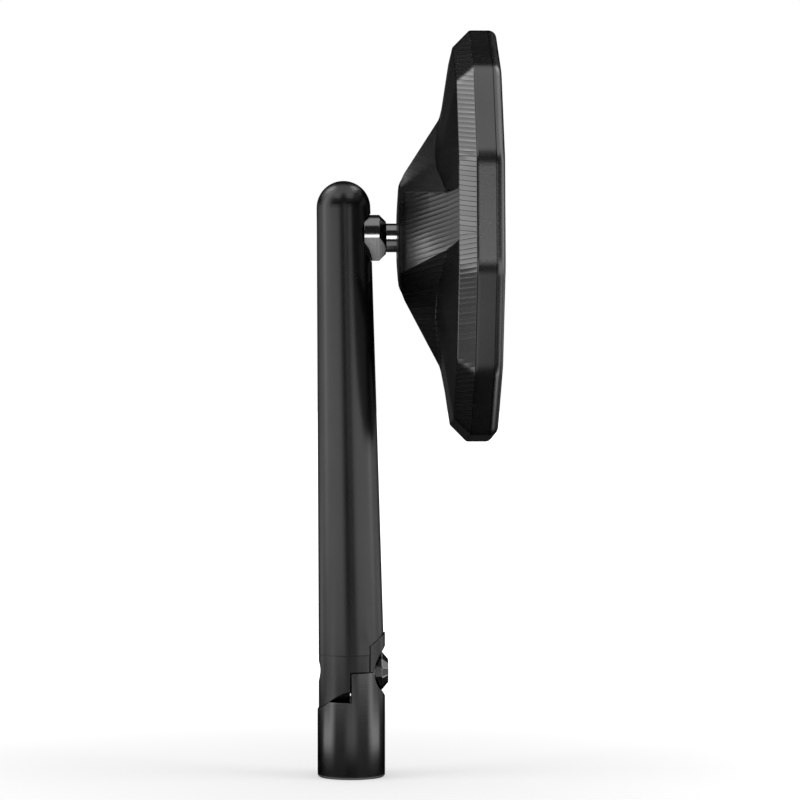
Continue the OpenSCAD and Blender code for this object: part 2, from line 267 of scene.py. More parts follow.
def place_of(paint):
    """The object's own coordinates, in metres."""
    return paint.node("ShaderNodeTexCoord").out("Object")


def distance_of(paint, spot):
    """How far a spot lies from the origin, in metres."""
    return paint.node("ShaderNodeVectorMath", {"operation": "LENGTH"}, [spot]).out("Value")


pale, pen = finish_named("pale_floor")
FLOOR_SHADE = 0.75
LIFT_NEAR, LIFT_FAR, LIFT_REACH = 0.34, 0.9, (0.03, 0.35)
lift = distance_of(pen, place_of(pen)).between(*LIFT_REACH)
lift = LIFT_NEAR + (LIFT_FAR - LIFT_NEAR) * lift
lift = pen.node("ShaderNodeCombineColor", {}, [lift * background_seen(pen)] * 3).out()
shine(pen, {
    "Base Color": (FLOOR_SHADE, FLOOR_SHADE, FLOOR_SHADE, 1), "Roughness": 0.9,
    "Specular IOR Level": 0.0, "Emission Color": lift, "Emission Strength": 1.0})
FLOOR_REACH = 3
stage_piece("floor", [
    (-FLOOR_REACH, -FLOOR_REACH, 0), (FLOOR_REACH, -FLOOR_REACH, 0),
    (FLOOR_REACH, FLOOR_REACH, 0), (-FLOOR_REACH, FLOOR_REACH, 0)], [(0, 1, 2, 3)], pale)
print("floor of", 2 * FLOOR_REACH, "m")

# %% Cards that only reflections see
def only_in_reflections(board):
    """Hides a card from all but the surfaces that mirror it."""
    for way in ("camera", "diffuse", "transmission", "volume_scatter", "shadow"):
        setattr(board, "visible_" + way, False)
    return board


def ramp(paint, share, stops):
    """A grey that follows a row of (place, level) stops."""
    return paint.node("ShaderNodeValToRGB", {"stops": stops}, {"Fac": share}).out("Color")


def side_angle_share(paint, spot):
    """0 towards the camera's side, 0.5 at the left and right, 1 behind."""
    axes = paint.node("ShaderNodeSeparateXYZ", {}, [spot])
    angle = paint.maths("ARCTAN2", abs(axes.out("X")), 0 - axes.out("Y"))
    return angle / math.pi, axes.out("Z")


CARD_GAIN = 2.0


def card_finish(name, shade_of):
    """A black card that glows by a rule on its own coordinates."""
    material, paint = finish_named(name)
    glow = paint.node("ShaderNodeEmission", {}, {
        "Color": shade_of(paint, place_of(paint)), "Strength": CARD_GAIN})
    paint.node("ShaderNodeOutputMaterial", {}, {"Surface": glow.out()})
    return material


print("a card glows", CARD_GAIN, "times its grey")

# %% [markdown]
# ## The tent
# A dome stands round the object. Its sides follow a row of grey levels that runs from the
# camera's side to the back, and bands of height darken or brighten them, one for each
# surface that mirrors that part: the near wall of the head, the chamfer, the spokes' side
# faces and the round top of the stalk.

# %% Reflection tent
TENT_R, TENT_Z = 1.2, 0.1
TENT_SIDES = [
    (0.0, 0.015), (0.07, 0.015), (0.12, 0.55), (0.46, 0.5), (0.485, 1.0), (0.525, 1.0),
    (0.55, 0.45), (0.76, 0.45), (0.82, 0.2), (0.89, 0.1), (0.92, 0.02), (1.0, 0.05)]
WALL_PATCH_X, WALL_PATCH_SHADE, TOP_SHADE, BLACK_SHADE = 0.09, 0.45, 0.4, 0.02
GLOW_LOW, GLOW_HIGH = 0.6, 2.0

# Soft steps, each with the places where it starts and ends.
FRONT_ENDS, HIGH_STARTS, HIGH_ENDS = (0.3, 0.4), (0.1, 0.16), (0.6, 0.72)
BEHIND_STARTS, BEHIND_RISES = (0.78, 0.84), (0.1, 0.3)
GLOW_STARTS, GLOW_RISES, GLOW_GROWS = (0.58, 0.64), (0.36, 0.46), (0.54, 0.7)
GAP_STARTS, GAP_RISES = (0.6, 0.66), (0.1, 0.2)
PATCH_SIDES, PATCH_ENDS, PATCH_TOP = (0.03, 0.1), (0.1, 0.2), (0.45, 0.55)
TOP_STARTS = (0.86, 0.93)


def tent_shade(paint, spot):
    """Level of the tent at a spot: its sides, then the bands that cover them."""
    share, height = side_angle_share(paint, spot)
    across = paint.node("ShaderNodeSeparateXYZ", {}, [spot]).out("X")
    lifted = (height - TENT_Z) / TENT_R
    front = 1 - share.between(*FRONT_ENDS)
    high = lifted.between(*HIGH_STARTS) * (1 - lifted.between(*HIGH_ENDS))
    behind = share.between(*BEHIND_STARTS) * lifted.between(*BEHIND_RISES)
    glowing = share.between(*GLOW_STARTS) * lifted.between(*GLOW_RISES) * (1 - behind)
    gap = share.between(*GAP_STARTS) * lifted.between(*GAP_RISES) * (1 - glowing)
    dark = (front * high).maths("MAXIMUM", behind).maths("MAXIMUM", gap)
    glow_level = paint.mix(lifted.between(*GLOW_GROWS), GLOW_LOW, GLOW_HIGH)
    level = paint.mix(glowing, ramp(paint, share, TENT_SIDES), glow_level)
    level = paint.mix(dark, level, BLACK_SHADE)
    wall_patch = 1 - abs(across - WALL_PATCH_X).between(*PATCH_SIDES)
    wall_patch = wall_patch * (1 - share.between(*PATCH_ENDS))
    wall_patch = wall_patch * (1 - height.between(*PATCH_TOP))
    level = paint.mix(wall_patch, level, WALL_PATCH_SHADE)
    return paint.mix(lifted.between(*TOP_STARTS), level, TOP_SHADE)


def ring_points(radius, height, count):
    """Corners of a level ring round the upright axis."""
    return [(radius * math.cos(2 * math.pi * k / count),
             radius * math.sin(2 * math.pi * k / count), height) for k in range(count)]


AROUND = 48
levels = [(TENT_R * math.cos(math.radians(a)), TENT_Z + TENT_R * math.sin(math.radians(a)))
          for a in range(-10, 90, 10)]
points = [p for radius, height in levels for p in ring_points(radius, height, AROUND)]
points.append((0, 0, TENT_Z + TENT_R))
faces = [(r * AROUND + k, r * AROUND + (k + 1) % AROUND,
          (r + 1) * AROUND + (k + 1) % AROUND, (r + 1) * AROUND + k)
         for r in range(len(levels) - 1) for k in range(AROUND)]
last = (len(levels) - 1) * AROUND
faces += [(last + k, last + (k + 1) % AROUND, len(points) - 1) for k in range(AROUND)]
only_in_reflections(stage_piece(
    "reflection_tent", points, faces, card_finish("tent_card", tent_shade)))
print("tent of", len(faces), "faces")

# %% [markdown]
# ## The card on the floor
# Faces that look down mirror the floor. Near the base the card is black, so that the
# stud's underside stays dark, and a darker field at its left is what the lower chamfer of
# the head shows.

# %% Reflection card on the floor
NEAR_SIDES = [
    (0.0, 0.28), (0.05, 0.3), (0.14, 0.02), (0.3, 0.02), (0.42, 0.9), (0.55, 0.8),
    (0.61, 0.1), (0.65, 0.03), (1.0, 0.02)]
WIDE_SIDES = [
    (0.0, 0.01), (0.085, 0.01), (0.15, 0.5), (0.64, 0.5), (0.68, 1.0), (0.77, 1.0),
    (0.82, 0.03), (1.0, 0.02)]
UNDER_SHADE, FIELD_SHADE = 0.01, 0.1
UNDER_ENDS, WIDE_STARTS = (0.054, 0.068), (0.16, 0.3)
FIELD_STARTS, FIELD_ENDS = (0.38, 0.44), (0.6, 0.66)
FIELD_NEAR, FIELD_FAR = (0.1, 0.15), (0.32, 0.42)


def floor_card_shade(paint, spot):
    """Level of the floor card at a spot, from the base outwards."""
    share, _ = side_angle_share(paint, spot)
    reach = distance_of(paint, spot)
    under = 1 - reach.between(*UNDER_ENDS)
    near = paint.mix(under, ramp(paint, share, NEAR_SIDES), UNDER_SHADE)
    level = paint.mix(
        reach.between(*WIDE_STARTS), near, ramp(paint, share, WIDE_SIDES))
    field = share.between(*FIELD_STARTS) * (1 - share.between(*FIELD_ENDS))
    field = field * reach.between(*FIELD_NEAR) * (1 - reach.between(*FIELD_FAR))
    return paint.mix(field, level, FIELD_SHADE)


CARD_IN, CARD_OUT, CARD_Z = 0.0095, 1.19, 0.0003
points = ring_points(CARD_IN, CARD_Z, AROUND) + ring_points(CARD_OUT, CARD_Z, AROUND)
faces = [(k, (k + 1) % AROUND, AROUND + (k + 1) % AROUND, AROUND + k)
         for k in range(AROUND)]
only_in_reflections(stage_piece(
    "reflection_floor_card", points, faces, card_finish("floor_card", floor_card_shade)))
print("floor card from", CARD_IN, "to", CARD_OUT, "m")

# %% [markdown]
# ## Soft boxes and strips
# Two soft boxes light the scene and stay out of the reflections. A small bright line on
# one surface, such as the white strip on the stud, would spoil its neighbours if a card
# made it. A strip lamp with light linking is seen by that one piece alone.

# %% Soft boxes
def soft_box(name, place, target, size, radiance):
    """A rectangular lamp that faces a target and shows in no reflection."""
    light = bpy.data.lights.new(name, "AREA")
    light.shape = "RECTANGLE"
    light.size, light.size_y = size
    light.energy = radiance * math.pi * size[0] * size[1]
    lamp = bpy.data.objects.new(name, light)
    lamp.location = place
    way = Vector(target) - Vector(place)
    lamp.rotation_euler = way.to_track_quat("-Z", "Y").to_euler()
    lamp.visible_glossy = False
    scene.collection.objects.link(lamp)
    return lamp


BOX_SIZE, BOX_RADIANCE = (0.7, 0.7), 2.2
for side, across in (("left", -1.0), ("right", 1.0)):
    soft_box("box_" + side, (across, -0.3, 0.7), (0, 0, 0.05), BOX_SIZE, BOX_RADIANCE)
print("soft boxes at both sides")

# %% Strips that one piece mirrors
def reflected_strip(name, place, target, size, radiance, piece, through_others=False):
    """A strip light that shows only in the reflections of one piece."""
    lamp = soft_box(name, place, target, size, radiance)
    lamp.visible_glossy = True
    lamp.visible_camera = lamp.visible_diffuse = False
    group = bpy.data.collections.new(name)
    group.objects.link(piece)
    lamp.light_linking.receiver_collection = group
    if through_others:
        lamp.light_linking.blocker_collection = group


reflected_strip("strip_on_stud", (0.02, -0.8, 0.13), (0.014, 0, 0.131), (0.3, 0.42), 4.5,
                nodes["ball_stud"])
reflected_strip("strip_under_stud", (0.006, -0.01, 0.06), (0.006, -0.005, 0.127),
                (0.006, 0.06), 1.1, nodes["ball_stud"], through_others=True)
print("two strips on the stud")

# %% [markdown]
# ## The machined head
# The head is one milled block: a twelve-sided plate with a rim that holds the glass, and a
# hub behind it whose three spokes run out over the sloping back. Every fourth flat of the
# outline lies on a spoke. A bevelled CAD mesh could do, but its long thin triangles spoil
# the reflections. The faces follow simple rules, so the head is drawn again as one closed
# grid. The columns run round the stud's axis, and the rows run from the ball's pocket over
# hub, back, chamfer and rim to the glass recess and back to the pocket. Columns lie along
# the spokes' edges, so that each edge stays crisp.

# %% Rules of the hub and the back
SPOKE_TURN = 6
NEAR_SPOKE = 180 - SPOKE_TURN
RIDGE_R, RIDGE_DEPTH = 44.9, 13.2
BACK_SLOPE = math.tan(math.radians(9))
HUB_DOME = 0.75
FLANK_DEPTH, BEND_DEPTH, TIP_DEPTH = 1.7, 10.84, 12.74
CORNER_REACH = 41.0
FACET_START, FLANK_REACH, BEND_REACH = 9.6, 12.4, 31.9
TIP_REACH, PAST_TIP_REACH = 42.0, 52.6
BEND_SPREAD = 0.3
HALF_WIDTH_START, HALF_WIDTH_TAPER = 9.8, 3.7
VALLEY_START, VALLEY_SLOPE = 13.0, 0.86


def facet_reach(depth):
    """Distance of a spoke's facet from the axis, with its bends a little rounded."""
    levels = np.array([HUB_DOME, FLANK_DEPTH, BEND_DEPTH, TIP_DEPTH, TIP_DEPTH + 2])
    reach = np.array([FACET_START, FLANK_REACH, BEND_REACH, TIP_REACH, PAST_TIP_REACH])
    spread = np.linspace(-BEND_SPREAD, BEND_SPREAD, 13)
    return np.mean([np.interp(depth + s, levels, reach) for s in spread], axis=0)


def facet_half(depth):
    """Half the width of a facet, which narrows towards its tip."""
    return HALF_WIDTH_START - HALF_WIDTH_TAPER * (depth - HUB_DOME) / (
        TIP_DEPTH - HUB_DOME)


def valley_reach(depth):
    """Distance of the valley between two spokes from the axis."""
    return VALLEY_START + VALLEY_SLOPE * (depth - HUB_DOME)


def outline_reach(angle, flat_r, corner_r):
    """Distance from the axis to twelve flats with round corners, at angles in radians."""
    side = math.pi / 6
    turn = np.abs((angle + math.radians(SPOKE_TURN) + side / 2) % side - side / 2)
    middle = (flat_r - corner_r) / math.cos(side / 2)
    along = middle * np.cos(side / 2 - turn)
    across = middle * np.sin(side / 2 - turn)
    on_arc = along + np.sqrt(np.maximum(corner_r ** 2 - across ** 2, 0))
    half_flat = (flat_r - corner_r) * math.tan(side / 2)
    return np.where(flat_r * np.tan(turn) <= half_flat, flat_r / np.cos(turn), on_arc)


CORNER_START, CORNER_GROWS = 2.0, 1.9


def back_depth(x, y):
    """Depth of the sloping back, a twelve-sided cone, at points across the axis."""
    angle, reach = np.arctan2(y, x), np.hypot(x, y)
    flat_r = reach.copy()
    for _ in range(8):
        out = (flat_r - FACET_START) / (RIDGE_R - FACET_START)
        corner_r = CORNER_START + CORNER_GROWS * out
        flat_r = flat_r * reach / outline_reach(angle, flat_r, corner_r)
    return RIDGE_DEPTH - (RIDGE_R - flat_r) * BACK_SLOPE


def bent(a, corner, b, steps):
    """Points of a round bend from a to b that is drawn towards the corner."""
    share = np.linspace(0, 1, steps)[:, None, None]
    return (1 - share) ** 2 * a + 2 * share * (1 - share) * corner + share ** 2 * b


tip_angle = math.radians(NEAR_SPOKE)
tip_x = np.array([TIP_REACH * math.cos(tip_angle)])
tip_y = np.array([TIP_REACH * math.sin(tip_angle)])
print("tip of a spoke at depth", round(float(back_depth(tip_x, tip_y)[0]), 2), "mm")

# %% Columns of the hub
FACET_COLUMNS, EDGE_COLUMNS, FLANK_COLUMNS, VALLEY_COLUMNS = 14, 4, 68, 8
EDGE_BREAK, VALLEY_ROUND = 0.25, 1.2
FACET_BARREL, BARREL_DEPTH = 1.4, 9.0


def half_sector(depth):
    """Points of one level from a facet's middle to the next valley, for many depths."""
    reach, half = facet_reach(depth), facet_half(depth)
    valley = valley_reach(depth)
    middle = np.stack([reach, 0 * reach], -1)
    edge = np.stack([reach, half], -1)
    valley_point = np.stack([valley * 0.5, valley * math.sqrt(0.75)], -1)
    side = valley_point - edge
    length = np.linalg.norm(side, axis=-1, keepdims=True)
    way = side / length
    before = edge - np.array([0, EDGE_BREAK])
    after = edge + way * EDGE_BREAK
    inner = valley_point - way * VALLEY_ROUND
    across = np.array([math.cos(math.radians(60)), math.sin(math.radians(60))])
    mirrored = 2 * (inner @ across)[..., None] * across - inner
    crown = FACET_BARREL * np.clip(1 - depth / BARREL_DEPTH, 0, 1)
    barrel = np.stack([crown, 0 * depth], -1)
    rows = [middle + (before - middle) * k / FACET_COLUMNS
            + barrel * (1 - (k / FACET_COLUMNS) ** 2) for k in range(FACET_COLUMNS)]
    rows += list(bent(before, edge, after, EDGE_COLUMNS + 1)[:-1])
    rows += [after + (inner - after) * k / FLANK_COLUMNS for k in range(FLANK_COLUMNS)]
    rows += list(bent(inner, valley_point, mirrored, 2 * VALLEY_COLUMNS + 1)[
        :VALLEY_COLUMNS + 1])
    return np.stack(rows, 1)


def whole_level(depth):
    """All columns of the star, counted round the axis, for an array of depths."""
    half = half_sector(np.asarray(depth, float))
    other = half[:, ::-1] * np.array([1, -1])
    sector = np.concatenate([other[:, :-1], half], 1)[:, :-1]
    turns = []
    for k in range(3):
        a = math.radians(NEAR_SPOKE + 120 * k)
        turn = np.array([[math.cos(a), math.sin(a)], [-math.sin(a), math.cos(a)]])
        turns.append(sector @ turn)
    return np.concatenate(turns, 1)


HALF_COLUMNS = FACET_COLUMNS + EDGE_COLUMNS + FLANK_COLUMNS + VALLEY_COLUMNS
COLUMNS = 6 * HALF_COLUMNS
print("columns round the head:", COLUMNS, whole_level([HUB_DOME]).shape)

# %% Rows of the head
def at_depth(flat, depth):
    """Rows of points with a depth as their third value."""
    return np.concatenate([flat, np.broadcast_to(depth, flat.shape[:-1])[..., None]], -1)


STAR_DEPTHS = np.linspace(HUB_DOME, TIP_DEPTH + 1.5, 700)
STAR_LEVELS = whole_level(STAR_DEPTHS)
STAR_STEP = STAR_DEPTHS[1] - STAR_DEPTHS[0]
EACH_COLUMN = np.arange(COLUMNS)


def crease_depths():
    """Depth at which each column of the hub meets the back."""
    back = back_depth(STAR_LEVELS[..., 0], STAR_LEVELS[..., 1])
    above = back - STAR_DEPTHS[:, None]
    first = np.argmax(above <= 0, axis=0)
    a, b = above[first - 1, EACH_COLUMN], above[first, EACH_COLUMN]
    return STAR_DEPTHS[first - 1] + STAR_STEP * a / (a - b)


def column_points(depth_of_column):
    """Points of the star where every column has its own depth."""
    place = (depth_of_column - STAR_DEPTHS[0]) / STAR_STEP
    low = np.clip(place.astype(int), 0, len(STAR_DEPTHS) - 2)
    share = (place - low)[:, None]
    return (STAR_LEVELS[low, EACH_COLUMN] * (1 - share)
            + STAR_LEVELS[low + 1, EACH_COLUMN] * share)


def ring(angle, reach):
    """Flat points at given angles and distances from the stud's axis."""
    return np.stack([reach * np.cos(angle), reach * np.sin(angle)], -1)


HUB_END = whole_level([HUB_DOME])[0]
hub_angle = np.unwrap(np.arctan2(HUB_END[:, 1], HUB_END[:, 0]))
crease = crease_depths()
crease_flat = column_points(crease)
FILLET, FILLET_RISE = 0.7, 0.42
outer_angle = np.unwrap(np.arctan2(crease_flat[:, 1], crease_flat[:, 0]))
start_reach = np.hypot(crease_flat[:, 0], crease_flat[:, 1]) + FILLET
print("hub meets the back at depths", round(float(crease.min()), 1), "to",
      round(float(crease.max()), 1), "mm")

# %% From the ball's pocket over the hub
MOUTH_R, POCKET_R, BORE_R = 5.77, 7.8, 8.0
MOUTH_EDGE, END_ROWS, END_STAR, DOME_POWER = 0.2, 12, 0.72, 2.2
POCKET_ROWS, RIM_ROWS = 8, 8
rows, zones = [], []


def add_row(points, zone):
    """A row of the head's grid, and the kind of face that leads to it."""
    rows.append(points)
    zones.append(zone)


mouth_turn = math.asin(MOUTH_R / POCKET_R)
for k in range(POCKET_ROWS + 1):
    turn = mouth_turn * k / POCKET_ROWS + (math.pi / 2) * (1 - k / POCKET_ROWS)
    reach = POCKET_R * math.sin(turn)
    depth = BALL_DEPTH - POCKET_R * math.cos(turn)
    add_row(at_depth(ring(hub_angle, reach), depth), "pocket")
mouth_depth = BALL_DEPTH - math.sqrt(POCKET_R ** 2 - MOUTH_R ** 2)
for share in (0.5, 0.85):
    add_row(at_depth(ring(hub_angle, MOUTH_R), mouth_depth * (1 - share)), "pocket")
for reach, depth in (
        (MOUTH_R, 0.18), (MOUTH_R + 0.06, 0.06), (MOUTH_R + MOUTH_EDGE, 0.0)):
    add_row(at_depth(ring(hub_angle, reach), depth), "pocket")
for k in range(1, END_ROWS + 1):
    share = k / END_ROWS
    star = HUB_END * (END_STAR + (1 - END_STAR) * share)
    circle = ring(hub_angle, MOUTH_R + MOUTH_EDGE)
    blend = min(1.0, 1.6 * share)
    flat = circle * (1 - blend) + star * blend
    add_row(at_depth(flat, HUB_DOME * share ** DOME_POWER), "end")
flank_low = np.full(COLUMNS, HUB_DOME)
flank_high = np.maximum(crease - FILLET * FILLET_RISE, HUB_DOME + 0.2)
FINE_PART = 0.14
shares = np.concatenate(
    [np.linspace(0, FINE_PART, 8)[1:], np.linspace(FINE_PART, 1, 30)[1:]])
for share in shares:
    depth = flank_low + (flank_high - flank_low) * share
    add_row(np.concatenate([column_points(depth), depth[:, None]], 1), "hub")
flank_last = rows[-1]
start_flat = ring(outer_angle, start_reach)
start = np.concatenate([
    start_flat, back_depth(start_flat[:, 0], start_flat[:, 1])[:, None]], 1)
corner = np.concatenate([crease_flat, crease[:, None]], 1)
for k, points in enumerate(bent(flank_last, corner, start, 7)[1:]):
    add_row(points, "hub" if k < 3 else "back")
print("rows up to the back:", len(rows))

# %% Rows of the outline
def rounded_path(points, radii, steps=4):
    """A path of (flat radius, depth) whose corners are bent by the given lengths."""
    points = [np.array(p, float) for p in points]
    path = [points[0]]
    for k in range(1, len(points) - 1):
        back_way = points[k - 1] - points[k]
        on_way = points[k + 1] - points[k]
        a = points[k] + back_way / np.linalg.norm(back_way) * radii[k - 1]
        b = points[k] + on_way / np.linalg.norm(on_way) * radii[k - 1]
        share = np.linspace(0, 1, steps)[:, None]
        path += list((1 - share) ** 2 * a + 2 * share * (1 - share) * points[k]
                     + share ** 2 * b)
    return path + [points[-1]]


def outline_row(flat_r, depth):
    """A row of twelve flats at one depth."""
    reach = outline_reach(outer_angle, flat_r, flat_r - CORNER_REACH)
    return at_depth(ring(outer_angle, reach), depth)


def cone_row(share, last_flat_r):
    """A row on the sloping back, part of the way from the hub's fillet to the ridge."""
    end = outline_reach(outer_angle, last_flat_r, last_flat_r - CORNER_REACH)
    flat = ring(outer_angle, start_reach + (end - start_reach) * share)
    return np.concatenate([flat, back_depth(flat[:, 0], flat[:, 1])[:, None]], 1)


LAST_BACK_R = RIDGE_R - 0.45
print("back ends at", LAST_BACK_R, "mm from the axis")

# %% Back, chamfer, wall and rim
for share in np.linspace(0, 1, 16)[1:]:
    add_row(cone_row(share, LAST_BACK_R), "back")
HEAD_R, WALL_BACK, WALL_FRONT, RIM_DEPTH = 49.0, 17.3, 21.9, 23.8
RECESS_R, FLOOR_DEPTH = 46.5, 19.9
last_back = RIDGE_DEPTH - (RIDGE_R - LAST_BACK_R) * BACK_SLOPE
edge_path = rounded_path(
    [(LAST_BACK_R, last_back), (RIDGE_R, RIDGE_DEPTH), (HEAD_R, WALL_BACK),
     (HEAD_R, WALL_FRONT - 0.4)], [0.3, 0.35])
for k, (flat_r, depth) in enumerate(edge_path[1:-1]):
    add_row(outline_row(flat_r, depth), "back" if k < 2 else "chamfer" if k < 5 else "wall")
for depth in (WALL_BACK + 0.75, (WALL_BACK + WALL_FRONT) / 2, WALL_FRONT - 0.5,
              WALL_FRONT - 0.15):
    add_row(outline_row(HEAD_R, depth), "wall")
RIM_ROUND = RIM_DEPTH - WALL_FRONT
for k in range(RIM_ROWS + 1):
    a = math.pi / 2 * k / RIM_ROWS
    add_row(outline_row(HEAD_R - RIM_ROUND * (1 - math.cos(a)),
                        WALL_FRONT + RIM_ROUND * math.sin(a)), "rim")
for flat_r, depth in ((RECESS_R + 0.2, RIM_DEPTH), (RECESS_R + 0.05, RIM_DEPTH - 0.05),
                      (RECESS_R, RIM_DEPTH - 0.2), (RECESS_R, FLOOR_DEPTH)):
    add_row(outline_row(flat_r, depth), "rim")
print("rows up to the recess:", len(rows))

# %% Behind the glass, and back to the pocket
RELIEF_IN, RELIEF_OUT, BACK_WALL = 22.68, 41.5, 2.4


def wall_depth(reach):
    """Depth of the ring cut's bottom, one wall behind the sloping back."""
    return RIDGE_DEPTH - (RIDGE_R - reach) * BACK_SLOPE + BACK_WALL


for reach, depth in (
        (RELIEF_OUT, FLOOR_DEPTH), (RELIEF_OUT, wall_depth(RELIEF_OUT)),
        (RELIEF_IN, wall_depth(RELIEF_IN)), (RELIEF_IN, FLOOR_DEPTH),
        (BORE_R, FLOOR_DEPTH)):
    add_row(at_depth(ring(outer_angle, reach), depth), "inside")
for share in np.linspace(0, 1, 9)[1:]:
    add_row(at_depth(ring(outer_angle + (hub_angle - outer_angle) * share, BORE_R),
                     FLOOR_DEPTH + (BALL_DEPTH - FLOOR_DEPTH) * share), "inside")
grid = np.array(rows)
print("rows:", len(rows), "faces:", len(rows) * COLUMNS)

# %% [markdown]
# ## Tool lines as a UV map
# A ball cutter leaves shallow parallel valleys, and each face was cut in its own direction.
# Real grooves would need millions of faces, so the map only says where they lie: its first
# number counts millimetres across the lines, and its second says how deep they are cut. On
# the wall and the rim the second number marks a painted dark line along the edges instead,
# a painted reflection of their rounding. A finish reads both later.

# %% Which face a column belongs to
LINE_UNIT = 0.01
sector = EACH_COLUMN // (2 * HALF_COLUMNS)
inside = EACH_COLUMN % (2 * HALF_COLUMNS)
FACET_SIDE = FACET_COLUMNS + EDGE_COLUMNS // 2
near_facet = (sector == 0) & (np.abs(inside + 0.5 - HALF_COLUMNS) < FACET_SIDE)
side_angle = (np.degrees(hub_angle) - NEAR_SPOKE + 180) % 360 - 180
above_facet = (side_angle < 0) & ~near_facet
print("columns of the near facet:", int(near_facet.sum()))

# %% How the lines lie on each face
NEAR_LEAN, ABOVE_LEAN, BELOW_LEAN, BELOW_SPREAD = 0.32, 0.45, 0.5, 0.025
height, rise = grid[..., 1], grid[..., 2]
lines = {
    "near": height - NEAR_LEAN * rise,
    "above": height + ABOVE_LEAN * rise,
    "below": (height - BELOW_LEAN * rise) / (1 + BELOW_SPREAD * rise),
}
flat_reach = np.hypot(grid[..., 0], grid[..., 1])
# The wall's rows at the chamfer and at the rim carry a painted dark line: a painted
# reflection of the rounded edges.
painted_edge_line_rows = {k for k in range(len(grid) - 1) if zones[k] == "wall" and (
    zones[k - 1] == "chamfer" or zones[k + 1] == "rim")}
print("rows of the wall's dark border:", sorted(painted_edge_line_rows))

# %% Lines and depths at the corners of every face
RING_LINES = 1.6
CHAMFER_MIDDLE, CHAMFER_BEND, BEND_LENGTH = 15.6, 0.7, 1.7
HUB_LINES = {"near": 1.0, "above": 0.3, "below": 1.0}
BACK_LINES = {"near": 0.9, "above": 0.3, "below": 0.3}
NEAR_FLAT, NEAR_FLAT_LINES, CHAMFER_LINES, END_LINES = (-10, 19), 1.9, 0.9, 0.5


def line_value(row, column, kind, zone):
    """Millimetres across the tool lines at a corner of a face."""
    wrapped = column % COLUMNS
    if zone in ("pocket", "end"):
        return flat_reach[row, wrapped] * RING_LINES
    if zone == "hub":
        return lines[kind][row, wrapped]
    if zone == "back" and kind == "near":
        return lines[kind][row, wrapped]
    if zone == "back":
        return height[row, wrapped]
    if zone == "chamfer":
        past = max(0.0, (rise[row, wrapped] - CHAMFER_MIDDLE) / BEND_LENGTH)
        bend = past ** 2 * CHAMFER_BEND
        return height[row, wrapped] + bend * math.copysign(1, height[row, wrapped])
    return 0.0


def line_strength(row, column, kind, zone):
    """How deep the lines are cut; on the wall, how near the painted dark edge line is, a
    painted reflection of the rounded edges.
    """
    if zone in ("wall", "rim"):
        return 1.0 if row in painted_edge_line_rows else 0.0
    if zone == "hub":
        return HUB_LINES[kind]
    if zone == "back":
        return BACK_LINES[kind]
    if zone == "chamfer":
        on_near = NEAR_FLAT[0] < height[row, column] < NEAR_FLAT[1]
        return NEAR_FLAT_LINES if on_near else CHAMFER_LINES
    return END_LINES


print("line depths on the hub:", HUB_LINES)

# %% Faces of the head
faces, values, slots = [], [], []
SATIN_ZONES = ("wall", "rim", "inside")
for row in range(len(grid)):
    on = (row + 1) % len(grid)
    zone = zones[on]
    for column in range(COLUMNS):
        kind = "near" if near_facet[column] else (
            "above" if above_facet[column] else "below")
        right = (column + 1) % COLUMNS
        faces.append((row * COLUMNS + column, row * COLUMNS + right,
                      on * COLUMNS + right, on * COLUMNS + column))
        for r, c in ((row, column), (row, column + 1), (on, column + 1), (on, column)):
            values.append((line_value(r, c, kind, zone) * LINE_UNIT,
                           line_strength(r, c % COLUMNS, kind, zone)))
        slots.append(int(zone in SATIN_ZONES))
print("corners with lines:", len(values))

# %% [markdown]
# ## Flat faces with soft edges
# On the real head a flat face is truly flat, and most of its edges are rounded by less than
# half a millimetre. Plain smooth shading would bend the light across the whole flat.
# Normals that count each face by its area keep the flats flat and leave the bend to the
# narrow rows at the edges.

# %% Mesh with its own normals
def weighted_normals(points, quads):
    """Vertex normals in which large faces count most, so that flats stay flat."""
    quads = np.array(quads)
    a, b, c, d = (points[quads[:, k]] for k in range(4))
    cross = np.cross(c - a, d - b)
    normals = np.zeros_like(points)
    for k in range(4):
        np.add.at(normals, quads[:, k], cross)
    return normals / np.maximum(np.linalg.norm(normals, axis=1, keepdims=True), 1e-12)


def piece_from_grid(name, points, quads, uv=None, material_index=None, reshape=None):
    """A closed mesh piece in metres with weighted normals, which reshape may alter."""
    normals = weighted_normals(points, [f if len(f) == 4 else f + f[-1:] for f in quads])
    if reshape:
        normals = reshape(normals)
    mesh = bpy.data.meshes.new(name)
    mesh.from_pydata((points * MM).tolist(), [], quads)
    if uv is not None:
        layer = mesh.uv_layers.new(name="tool_lines")
        layer.data.foreach_set("uv", np.array(uv, np.float32).ravel())
    if material_index is not None:
        mesh.polygons.foreach_set("material_index", material_index)
    mesh.polygons.foreach_set("use_smooth", [True] * len(quads))
    mesh.update()
    mesh.normals_split_custom_set_from_vertices(normals.tolist())
    piece = bpy.data.objects.new(name, mesh)
    scene.collection.objects.link(piece)
    return piece


def on_stud(points):
    """From the stud's own axes into the shared frame."""
    return np.stack([HUB_X + points[:, 2], points[:, 0], STUD_Z + points[:, 1]], 1)


head_points = on_stud(grid.reshape(-1, 3))
print("points of the head:", len(head_points))

# %% The machined head
STEADY_DEPTH, FACET_SOFT, HUB_ROWS, HUB_REACH = 7, 0.35, 60, 20


